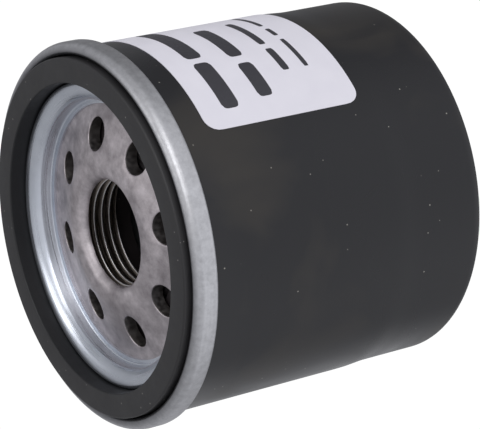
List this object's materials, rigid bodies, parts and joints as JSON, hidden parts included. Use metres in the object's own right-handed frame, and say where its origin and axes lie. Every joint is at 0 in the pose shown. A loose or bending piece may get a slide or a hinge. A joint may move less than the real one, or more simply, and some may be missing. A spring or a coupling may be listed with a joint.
{
  "type": "spin-on oil filter",
  "caption": "Small black spin-on oil filter: drawn steel can, rolled seam, rubber gasket, drilled base plate with threaded centre, valves and pleated paper inside.",
  "frame": {"origin": "middle of the flat on the closed end, which the filter stands on", "axes": "+Z along the filter's axis, out of the open threaded end; +X through one of the oil inlet holes"},
  "size_m": [0.0664, 0.0664, 0.065],
  "materials": {
    "black_paint": "semi-gloss black stoved paint",
    "galvanised_lid": "bright zinc-coated sheet with forming marks",
    "plate_steel": "dull pickled hot-rolled steel",
    "gasket_rubber": "matte moulded nitrile",
    "valve_rubber": "matte moulded nitrile",
    "seam_compound": "dried lining compound",
    "cap_steel": "yellow-passivated tinplate",
    "adhesive": "cured plastisol",
    "filter_paper": "resin-cured filter paper",
    "clip_steel": "plain sheet steel",
    "valve_steel": "turned steel",
    "spring_steel": "drawn spring wire",
    "label_paper": "satin off-white label film"
  },
  "bodies": {
    "filter_shell": {"canister": "black_paint", "seaming_lid": "galvanised_lid", "seam_sealant": "seam_compound", "base_plate": "plate_steel", "weld_spots": "plate_steel", "sealing_gasket": "gasket_rubber", "anti_drain_hub": "valve_rubber", "upper_end_cap": "cap_steel", "upper_potting": "adhesive", "pleated_media": "filter_paper", "media_seam_clip": "clip_steel", "lower_potting": "adhesive", "lower_end_cap": "cap_steel", "centre_tube": "clip_steel", "bypass_seat": "valve_steel", "bypass_cage": "clip_steel", "bypass_spring": "spring_steel", "hold_down_spring": "spring_steel", "blank_label": "label_paper"},
    "bypass_valve": {"bypass_disc": "valve_steel", "bypass_seal": "valve_rubber"},
    "anti_drain_lip": {"anti_drain_lip": "valve_rubber"}
  },
  "joints": [
    {"name": "bypass_valve_lift", "type": "slide", "parent": "filter_shell", "child": "bypass_valve", "axis": [0, 0, 1], "range_m": [0, 0.003], "stiffness_N_per_m": 1500, "springref_m": -0.004, "deforming": ["bypass_spring"]},
    {"name": "anti_drain_lip_lift", "type": "slide", "parent": "filter_shell", "child": "anti_drain_lip", "axis": [0, 0, -1], "range_m": [0, 0.0014], "stiffness_N_per_m": 400, "springref_m": -0.001}
  ]
}
